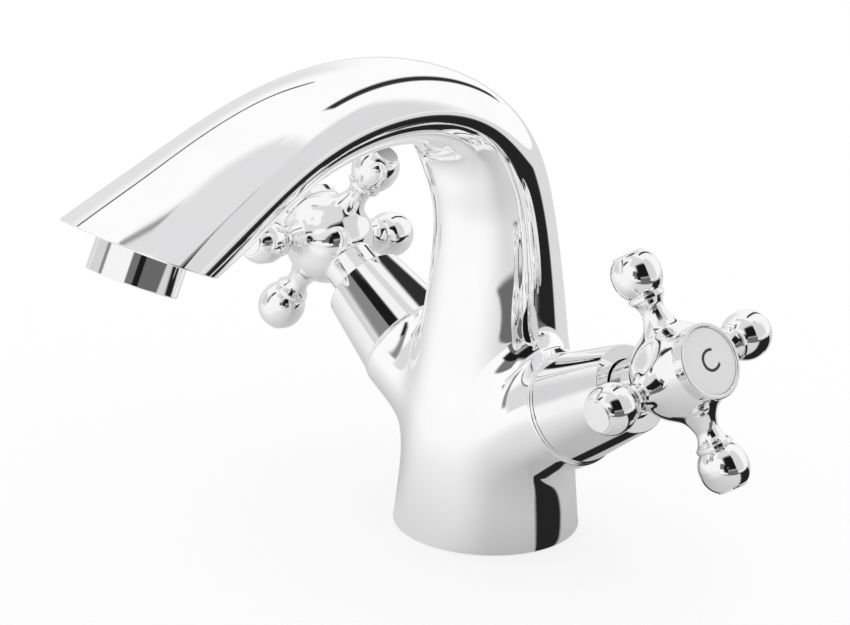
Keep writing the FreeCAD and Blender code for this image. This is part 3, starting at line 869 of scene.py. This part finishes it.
def hub_skin():
    """Hub, skirt and arm necks. The necks end inside the beads of the ball ends."""
    reach = NECK_END + 1
    cuts = [(Vector((0, 0, SKIRT_START + SKIRT_CUT)), Vector((0, 0, -1)), anywhere),
            (Vector((0, 0, CAP_SEAT - FRONT_CUT)), Vector((0, 0, 1)), anywhere)]
    for step in range(ARM_COUNT):
        out = Vector((math.cos(step * math.pi / 2), math.sin(step * math.pi / 2), 0))
        cuts.append((out * NECK_END + Vector((0, 0, HANDLE_PLANE)), out, anywhere))
    skin, loops = cast_net(hub_distance, (-reach, -reach, SKIRT_START), (reach, reach, CAP_SEAT),
                           HANDLE_CELL, cuts)
    rings = rounded_rim(SKIRT_RADIUS, SKIRT_START, SKIRT_ROUND, -1)
    bore, depth = SKIRT_BORE
    rings += stepped([(bore, SKIRT_START), (bore, SKIRT_START + depth)], -1)
    end_rings(skin, loops[0], rings, last=-1)
    rings = [(HUB_FRONT_RADIUS, CAP_SEAT, 1, 0), (HUB_FRONT_RADIUS, CAP_SEAT, 0, 1)]
    end_rings(skin, loops[1], rings, last=1)
    for step, loop in enumerate(loops[2:]):
        turn = step * math.pi / 2
        place = (Matrix.Translation((0, 0, HANDLE_PLANE)) @ Matrix.Rotation(turn, 4, "Z")
                 @ Matrix.Rotation(math.pi / 2, 4, "Y"))
        end_rings(skin, loop, [(NECK_END_RADIUS, NECK_END, 0, 1)], place, NECK_COUNT, last=1)
    return skin


def ball_end_skin():
    """Bead, egg-shaped ball and flat tip of one arm, along +X in the handle's plane."""
    skin = Skin()
    turned(skin, [
        (ARM_BEAD_PLACE, 0), (ARM_BEAD_PLACE, 4.8), (21.0, 4.8), (21.0, 4.3),
        (23.55, 6.0, "arc"), (26.3, 6.45), (29.55, 5.8, "arc"), (31.4, 4.4), (31.4, 4.0),
        (32.0, 4.0), (32.0, 0)], edge=0.3, closed=False, count=72)
    return skin


def round_pattern_tree():
    """Geometry nodes: copies of the input round Z, made real, with one material."""
    group = bpy.data.node_groups.new("round_pattern", "GeometryNodeTree")
    for name, kind in (("Geometry", "NodeSocketGeometry"), ("Count", "NodeSocketInt"),
                       ("Finish", "NodeSocketMaterial")):
        group.interface.new_socket(name, in_out="INPUT", socket_type=kind)
    group.interface.new_socket("Geometry", in_out="OUTPUT", socket_type="NodeSocketGeometry")
    tree = Nodes(group)
    given = tree.add("NodeGroupInput")
    spots = tree.add("GeometryNodePoints", {"Count": given["Count"]})
    share = tree.math("DIVIDE", FULL_TURN, given["Count"])
    turn = tree.math("MULTIPLY", tree.add("GeometryNodeInputIndex")[0], share)
    angles = tree.add("ShaderNodeCombineXYZ", {"Z": turn})
    copies = tree.add("GeometryNodeInstanceOnPoints", {
        "Points": spots[0], "Instance": given["Geometry"], "Rotation": angles[0]})
    real = tree.add("GeometryNodeRealizeInstances", {0: copies[0]})
    finish = tree.add("GeometryNodeSetMaterial", {"Geometry": real[0],
                                                  "Material": given["Finish"]})
    tree.add("NodeGroupOutput", {0: finish[0]})
    return group


def round_pattern(piece, tree, count, material, matrix):
    """Turns a piece into count copies of itself round Z, then puts them in place."""
    modifier = piece.modifiers.new("round_pattern", "NODES")
    modifier.node_group = tree
    sockets = {s.name: s.identifier for s in tree.interface.items_tree if s.in_out == "INPUT"}
    modifier[sockets["Count"]] = count
    modifier[sockets["Finish"]] = material
    mesh = shown_mesh(piece)
    piece.modifiers.remove(modifier)
    piece.data = mesh
    put_in_place(mesh, matrix)


def index_cap(word):
    """Chrome cap that plugs into the hub and frames the index disc."""
    seat = CAP_SEAT - CAP_PLUG_LENGTH
    recess = DISC_FRONT - DISC_THICKNESS
    bore = CAP_PLUG_RADIUS - CAP_PLUG_WALL
    return turned_piece(word + "_cap", [
        (seat, bore), (seat, CAP_PLUG_RADIUS), (CAP_SEAT, CAP_PLUG_RADIUS),
        (CAP_SEAT, CAP_RADIUS), (CAP_FRONT, CAP_RADIUS), (CAP_FRONT, DISC_RADIUS + FIT_GAP),
        (recess, DISC_RADIUS + FIT_GAP), (recess, bore)], valve_matrix(word), edge=0.45)


def index_disc(word):
    """Flat disc in the cap's recess."""
    back = DISC_FRONT - DISC_THICKNESS
    outline = [(back, 0), (back, DISC_RADIUS), (DISC_FRONT, DISC_RADIUS), (DISC_FRONT, 0)]
    return turned_piece(word + "_disc", outline, valve_matrix(word), edge=0.12, closed=False)


def index_letter(word):
    """One plain letter, C for cold or H for hot, printed in the middle of the disc."""
    letter = bpy.data.curves.new(word + "_text", "FONT")
    letter.body = word[0].upper()
    letter.size = LETTER_SIZE * MM
    letter.offset = -LETTER_THINNING * MM
    letter.extrude = LETTER_THICKNESS * MM
    letter.resolution_u = 8
    text = new_object(word + "_text", letter)
    mesh = shown_mesh(text)
    bpy.data.objects.remove(text)
    spots = np.array([v.co for v in mesh.vertices])
    middle = (spots.min(axis=0) + spots.max(axis=0)) / 2
    mesh.transform(Matrix.Translation((-middle[0], -middle[1], 0)))
    put_in_place(mesh, valve_matrix(word)
                 @ Matrix.Translation((0, 0, DISC_FRONT + LETTER_LIFT))
                 @ Matrix.Rotation(SIDES[word] * math.pi / 2 + LETTER_TURN, 4, "Z"))
    return new_object(word + "_letter", mesh)


def aerator_ring():
    """Plain ring under the spout's end."""
    bore = AERATOR_RADIUS - AERATOR_WALL
    lip = AERATOR_LENGTH - AERATOR_LIP
    lip_bore = bore - AERATOR_LIP_WIDTH
    return turned_piece("aerator_ring", [
        (0, bore), (0, AERATOR_RADIUS), (AERATOR_LENGTH, AERATOR_RADIUS),
        (AERATOR_LENGTH, lip_bore), (lip, lip_bore), (lip, bore)], mouth_matrix(), edge=0.35)


# ---------------- materials


WEAR_SCALES = {"Smudge Scale": 60.0, "Speck Scale": 900.0, "Line Scale": 2500.0}
LINE_STRETCH = (1.0, 1.0, 0.12)
LINE_HEIGHT = 0.6
SMUDGE_LIMITS = (0.42, 0.75)
RELIEF_DEPTH = 0.0001


def surface_wear_group():
    """Soft smudges, fine specks and polishing lines, as a mask and a height."""
    group = bpy.data.node_groups.new("surface_wear", "ShaderNodeTree")
    for name, value in WEAR_SCALES.items():
        socket = group.interface.new_socket(name, in_out="INPUT", socket_type="NodeSocketFloat")
        socket.default_value = value
    for name in ("Smudges", "Height"):
        group.interface.new_socket(name, in_out="OUTPUT", socket_type="NodeSocketFloat")
    tree = Nodes(group)
    given = tree.add("NodeGroupInput")
    place = tree.add("ShaderNodeTexCoord")["Object"]
    stretch = tree.add("ShaderNodeMapping", {"Vector": place, "Scale": LINE_STRETCH})[0]
    smudge = tree.add("ShaderNodeTexNoise", {
        "Vector": place, "Scale": given["Smudge Scale"], "Detail": 4.0, "Roughness": 0.6})
    speck = tree.add("ShaderNodeTexNoise", {
        "Vector": place, "Scale": given["Speck Scale"], "Detail": 2.0})
    lines = tree.add("ShaderNodeTexNoise", {
        "Vector": stretch, "Scale": given["Line Scale"], "Detail": 2.0})
    shaped = tree.add("ShaderNodeMapRange", {
        "Value": smudge["Fac"], "From Min": SMUDGE_LIMITS[0],
        "From Max": SMUDGE_LIMITS[1]})
    height = tree.math("MULTIPLY_ADD", lines["Fac"], LINE_HEIGHT, speck["Fac"])
    tree.add("NodeGroupOutput", {"Smudges": shaped[0], "Height": height})
    return group


wear = surface_wear_group()


def worn_surface(name, colour, rough, metallic, smudge_rough, bump, shade,
                 scales=tuple(WEAR_SCALES.values())):
    """Principled surface whose roughness, colour and relief follow the wear group."""
    material, tree = new_material(name)
    marks = tree.add("ShaderNodeGroup", dict(zip(WEAR_SCALES, scales)), node_tree=wear)
    roughness = tree.add("ShaderNodeMapRange", {
        "Value": marks["Smudges"], "To Min": rough, "To Max": rough + smudge_rough})
    smudged = tuple(c * (1 - shade) for c in colour)
    tint = tree.add("ShaderNodeMix", {
        "Factor": marks["Smudges"], "A": colour + (1,), "B": smudged + (1,)}, data_type="RGBA")
    relief = tree.add("ShaderNodeBump", {
        "Strength": bump, "Distance": RELIEF_DEPTH, "Height": marks["Height"]})
    surface = tree.add("ShaderNodeBsdfPrincipled", {
        "Base Color": tint["Result"], "Roughness": roughness[0],
        "Metallic": metallic, "Normal": relief[0]})
    tree.add("ShaderNodeOutputMaterial", {"Surface": surface[0]})
    return material


# Colour, roughness, metal, then what smudges add to roughness, relief, what smudges take off the
# colour, and the wear's scales where they aren't the usual ones.
FINISHES = {
    "polished_chrome": ((0.97, 0.97, 0.975), 0.015, 1.0, 0.025, 0.008, 0.02),
    # handle_chrome and turned_chrome are the same chrome made darker than polished_chrome: painted
    # shade that makes the handles and trim look greyer.
    "handle_chrome": ((0.92, 0.92, 0.925), 0.02, 1.0, 0.03, 0.012, 0.03, (110.0, 1400.0, 3200.0)),
    "turned_chrome": ((0.91, 0.91, 0.915), 0.02, 1.0, 0.03, 0.012, 0.03, (140.0, 1200.0, 4200.0)),
    "machined_brass": ((0.78, 0.60, 0.30), 0.22, 1.0, 0.15, 0.1, 0.15),
    "black_rubber": ((0.03, 0.03, 0.03), 0.55, 0.0, 0.2, 0.2, 0.2),
    "white_plastic": ((0.75, 0.75, 0.73), 0.4, 0.0, 0.15, 0.1, 0.05),
    "slippery_plastic": ((0.85, 0.85, 0.84), 0.35, 0.0, 0.1, 0.05, 0.03),
    "screen_steel": ((0.55, 0.55, 0.56), 0.3, 1.0, 0.15, 0.1, 0.2),
    "spring_steel": ((0.50, 0.50, 0.52), 0.25, 1.0, 0.1, 0.1, 0.1),
    "screw_steel": ((0.55, 0.55, 0.57), 0.3, 1.0, 0.1, 0.1, 0.1),
    "valve_ceramic": ((0.90, 0.89, 0.86), 0.15, 0.0, 0.1, 0.03, 0.03),
    "index_enamel": ((0.70, 0.70, 0.705), 0.3, 0.0, 0.12, 0.03, 0.03),
    "print_ink": ((0.025, 0.025, 0.03), 0.4, 0.0, 0.1, 0.05, 0.1),
}
finishes = {name: worn_surface(name, *values) for name, values in FINISHES.items()}

# ---------------- the object


def dress(piece, body, slot, finish, *nodes):
    """Gives a finished piece its material, its body and the CAD nodes it replaces. The slot is not
    used.
    """
    piece.data.materials.clear()
    piece.data.materials.append(finishes[finish])
    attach(piece, body)
    if nodes:
        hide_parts(*nodes)


dress(mixer_casting(), "mixer", "body_chrome", "polished_chrome", "mixer_body")
dress(aerator_ring(), "mixer", "trim_chrome", "turned_chrome", "aerator_shell")

hub_mesh = hub_skin()
ball_mesh = ball_end_skin()
lay_on_plane = Matrix.Translation((0, 0, HANDLE_PLANE)) @ Matrix.Rotation(math.pi / 2, 4, "Y")
pattern = round_pattern_tree()
for word in SIDES:
    body = word + "_handle"
    dress(sleeve(word), "mixer", "trim_chrome", "turned_chrome", word + "_sleeve")
    hub = hub_mesh.build(word + "_hub_and_necks", handle_matrix(word))
    dress(hub, body, "handle_chrome", "handle_chrome", word + "_handle_cross")
    balls = ball_mesh.build(word + "_ball_ends", lay_on_plane)
    round_pattern(balls, pattern, ARM_COUNT, finishes["handle_chrome"], handle_matrix(word))
    dress(balls, body, "handle_chrome", "handle_chrome")
    dress(index_cap(word), body, "trim_chrome", "turned_chrome", word + "_index_cap")
    dress(index_disc(word), body, "index_white", "index_enamel", word + "_index_disc")
    dress(index_letter(word), body, "index_white", "print_ink")

NODE_FINISHES = {
    "black_rubber": ("base_seal", "aerator_washer", "seat_washer", "housing_oring", "stem_orings"),
    "machined_brass": ("valve_housing", "spindle"),
    "valve_ceramic": ("fixed_disc", "turning_disc"),
    "white_plastic": ("aerator_insert",),
    "slippery_plastic": ("thrust_washer",),
    "screen_steel": ("aerator_screen",),
    "spring_steel": ("retaining_clip",),
    "screw_steel": ("handle_screw",),
}
for finish, parts in NODE_FINISHES.items():
    for name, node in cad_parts.items():
        if name.replace("cold_", "").replace("hot_", "") in parts:
            node.data.materials.clear()
            node.data.materials.append(finishes[finish])

# ---------------- studio

scene = bpy.context.scene
scene.view_settings.view_transform = "Standard"

FLOOR_HALF_SIZE = 2.0
FLOOR_DROP = 0.0002
FLOOR_WHITE = (0.99, 0.99, 0.99, 1)
FLOOR_GLOW = 0.72
# Painted light and shade on the floor, seen only in the chrome: lighter towards one side and darker
# away from it, with a painted shadow round the tap.
FLOOR_LIGHT_SIDE = math.radians(-110)
FLOOR_LIGHT_EDGE = (0.25, 0.95)
FLOOR_PAINTED_UNLIT_TONE = 0.62
FLOOR_SHADE = 0.66
FLOOR_SHADE_REACH = (0.02, 0.17)
CARD_DISTANCE = 1.3
CARD_AIM = Vector((0, 0, 0.07))
CARD_BLUE = 1.01
WEDGE_FADE = 0.85


def spot_on_sheet(tree):
    """X, Y and Z of a point on a sheet, and its distance from the sheet's middle."""
    place = tree.add("ShaderNodeTexCoord")["Object"]
    length = tree.add("ShaderNodeVectorMath", {0: place}, operation="LENGTH")["Value"]
    return tree.add("ShaderNodeSeparateXYZ", {0: place}), length


def floor_material():
    """White floor that keeps a faint shadow. In the chrome it shows painted shade: darker round the
    tap and away from its lit side.
    """
    material, tree = new_material("studio_floor")
    rays = tree.add("ShaderNodeLightPath")
    parts, length = spot_on_sheet(tree)
    towards = tree.math("MULTIPLY", parts["X"], math.cos(FLOOR_LIGHT_SIDE))
    towards = tree.math("MULTIPLY_ADD", parts["Y"], math.sin(FLOOR_LIGHT_SIDE), towards)
    lit = tree.soft_step(tree.math("DIVIDE", towards, length), *FLOOR_LIGHT_EDGE)
    tone = tree.math("MULTIPLY_ADD", lit, 1.0 - FLOOR_PAINTED_UNLIT_TONE, FLOOR_PAINTED_UNLIT_TONE)
    away = tree.soft_step(length, *FLOOR_SHADE_REACH)
    shaded = tree.math("MULTIPLY_ADD", away, 1.0 - FLOOR_SHADE, FLOOR_SHADE)
    # Painted shade for glossy rays only: the painted falloff of light times the painted shadow
    # round the tap.
    painted_shade = tree.math("SUBTRACT", 1.0, tree.math("MULTIPLY", tone, shaded))
    only_glossy = tree.math("MULTIPLY", rays["Is Glossy Ray"], painted_shade)
    glow = tree.add("ShaderNodeEmission", {"Strength": tree.math("SUBTRACT", 1.0, only_glossy)})
    paper = tree.add("ShaderNodeBsdfDiffuse", {"Color": FLOOR_WHITE})
    seen = tree.math("MAXIMUM", rays["Is Camera Ray"], rays["Is Glossy Ray"])
    seen = tree.math("MAXIMUM", seen, rays["Is Transmission Ray"])
    mix = tree.add("ShaderNodeMixShader", {
        "Fac": tree.math("MULTIPLY", seen, FLOOR_GLOW), 1: paper[0], 2: glow[0]})
    tree.add("ShaderNodeOutputMaterial", {"Surface": mix[0]})
    return material


def card_shader(tree, mask, tone):
    """Plain paper of one tone where the mask is one, and nothing where it is nought; it glows
    though it is no lamp, as a painted reflection.
    """
    clear = tree.add("ShaderNodeBsdfTransparent")
    paper = tree.add("ShaderNodeEmission", {"Color": (tone, tone, tone * CARD_BLUE, 1)})
    mix = tree.add("ShaderNodeMixShader", {
        "Fac": mask, 1: clear[0], 2: paper[0]})
    tree.add("ShaderNodeOutputMaterial", {"Surface": mix[0]})


def stage_plane(name, half_width, half_height, material):
    """A level sheet round the origin that isn't part of the object."""
    mesh = bpy.data.meshes.new(name)
    w, h = half_width, half_height
    mesh.from_pydata([(-w, -h, 0), (w, -h, 0), (w, h, 0), (-w, h, 0)], [], [(0, 1, 2, 3)])
    mesh.materials.append(material)
    sheet = new_object(name, mesh)
    return sheet


def only_in_chrome(sheet):
    """A card that shows in reflections and casts no light or shadow: a painted reflection in the
    chrome.
    """
    sheet.visible_camera = False
    sheet.visible_diffuse = False
    sheet.visible_shadow = False
    sheet.visible_volume_scatter = False


def place_card(name, matrix, half_width, half_height, tone, softness):
    """A card of one tone that fades out towards its four edges."""
    material, tree = new_material(name)
    place = tree.add("ShaderNodeTexCoord")["Object"]
    parts = tree.add("ShaderNodeSeparateXYZ", {0: place})
    masks = []
    for axis, half in (("X", half_width), ("Y", half_height)):
        away = tree.math("ABSOLUTE", parts[axis])
        masks.append(tree.soft_step(away, half, half - min(softness, half)))
    card_shader(tree, tree.math("MULTIPLY", *masks), tone)
    sheet = stage_plane(name, half_width, half_height, material)
    sheet.matrix_world = Matrix.Translation(CARD_AIM) @ matrix
    only_in_chrome(sheet)


def card(name, azimuth, elevation, half_turn, half_rise, tone, softness, tilt):
    """Card that faces the tap, placed and sized by angles in degrees as the tap sees it."""
    half_width, half_height, soft = (
        CARD_DISTANCE * math.tan(math.radians(a)) for a in (half_turn, half_rise, softness))
    turn = (Matrix.Rotation(math.radians(azimuth), 4, "Z")
            @ Matrix.Rotation(math.radians(90 - elevation), 4, "Y")
            @ Matrix.Translation((0, 0, CARD_DISTANCE))
            @ Matrix.Rotation(math.radians(90 + tilt), 4, "Z"))
    place_card(name, turn, half_width, half_height, tone, soft)


def level_card(name, x, y, z, half_width, half_depth, tone, softness, turn):
    """Level card placed from CARD_AIM and sized in shares of CARD_DISTANCE."""
    matrix = (Matrix.Translation(Vector((x, y, z)) * CARD_DISTANCE)
              @ Matrix.Rotation(math.radians(turn), 4, "Z"))
    place_card(name, matrix, half_width * CARD_DISTANCE, half_depth * CARD_DISTANCE, tone,
               softness * CARD_DISTANCE)


def wedge_on_floor(name, apex, start, end, soft_start, soft_end, far, tone):
    """Dark card on the floor, a sector that opens from its apex, seen only in the chrome as a
    painted dark reflection. Its angles are in degrees.
    """
    material, tree = new_material(name)
    parts, length = spot_on_sheet(tree)
    angle = tree.math("ARCTAN2", parts["Y"], parts["X"])
    start, end, soft_start, soft_end = (math.radians(a) for a in (start, end, soft_start, soft_end))
    mask = tree.soft_step(angle, start, start + soft_start)
    mask = tree.math("MULTIPLY", mask, tree.soft_step(angle, end, end - soft_end))
    mask = tree.math("MULTIPLY", mask, tree.soft_step(length, far, far * WEDGE_FADE))
    card_shader(tree, mask, tone)
    sheet = stage_plane(name, far, far, material)
    sheet.location = apex
    only_in_chrome(sheet)


floor = stage_plane("floor", FLOOR_HALF_SIZE, FLOOR_HALF_SIZE, floor_material())
floor.location.z = -FLOOR_DROP
# Painted dark reflection of the floor next to the tap, seen only in the chrome.
wedge_on_floor("dark_floor_card", (0.022, -0.006, 0), 18, 72, 8, 6, 0.62, 0.018)

# The cards paint the chrome's reflections: the pale ones glow though they are no lamps, and the
# dark ones paint dark bands.
# Name, azimuth, elevation, half width, half height, tone, softness and tilt, in degrees.
CARDS = [
    ("side_card", 30, 33, 26, 36, 0.72, 12, 0),
    ("black_flag", -11, 36, 33, 31, 0.010, 16, 0),
    ("low_grey_card", -8.5, 3, 23.5, 9, 0.15, 3, 0),
    ("camera_card", -36, 13, 8, 12, 0.012, 3, 0),
    ("camera_grey_card", -50, 17, 11, 13, 0.18, 4, 0),
    ("left_card", -150, 8, 24, 18, 0.72, 10, 0),
    ("left_grey_card", -125, 28, 8, 26, 0.26, 6, 0),
    ("left_flag", -121, 46, 6, 14, 0.012, 5, 0),
    ("right_flag", 114, 40, 5, 32, 0.03, 3, 0),
    ("back_card", 164, 6, 26, 27, 0.78, 14, 0),
    ("line_card", 165, 33, 14, 1.2, 0.06, 1.0, -14),
]
for settings in CARDS:
    card(*settings)
# The level cards are painted reflections too: pale ones above and a dark one low down.
# Name, place, half width, half depth, tone and softness as shares of CARD_DISTANCE, and turn.
LEVEL_CARDS = [
    ("ceiling_card", 0.68, -0.27, 1.0, 0.83, 0.58, 0.76, 0.09, 15),
    ("ceiling_strip_card", -0.40, -0.10, 0.995, 0.38, 0.16, 0.76, 0.09, 15),
    ("ceiling_edge_card", -0.66, -0.095, 0.99, 0.16, 0.05, 0.33, 0.05, 15),
    ("far_floor_card", 0.70, -0.06, -0.053, 0.46, 0.33, 0.15, 0.06, -5),
]
for settings in LEVEL_CARDS:
    level_card(*settings)

world = bpy.data.worlds.new("studio")
world.use_nodes = True
sky = world.node_tree.nodes["Background"]
sky.inputs["Color"].default_value = (1, 1, 1, 1)
sky.inputs["Strength"].default_value = 1.0
scene.world = world

# ---------------- camera

CAMERA_PLACE = Vector((0.5660096, -0.5486478, 0.3337826))
CAMERA_RIGHT = Vector((0.6710, 0.7408, 0.0309))
CAMERA_BACK = Vector((0.6928, -0.6413, 0.3299))
FOCAL_PIXELS = 3163.14
PHOTO_WIDTH = 850

lens = bpy.data.cameras.new("photo_camera")
lens.sensor_fit = "HORIZONTAL"
lens.sensor_width = 36.0
lens.lens = FOCAL_PIXELS / PHOTO_WIDTH * lens.sensor_width
lens.clip_start = 0.01
camera = new_object("photo_camera", lens)
back = CAMERA_BACK.normalized()
right = (CAMERA_RIGHT - back * CAMERA_RIGHT.dot(back)).normalized()
upright = back.cross(right)
turn = Matrix((right, upright, back)).transposed()
camera.matrix_world = Matrix.Translation(CAMERA_PLACE) @ turn.to_4x4()
scene.camera = camera
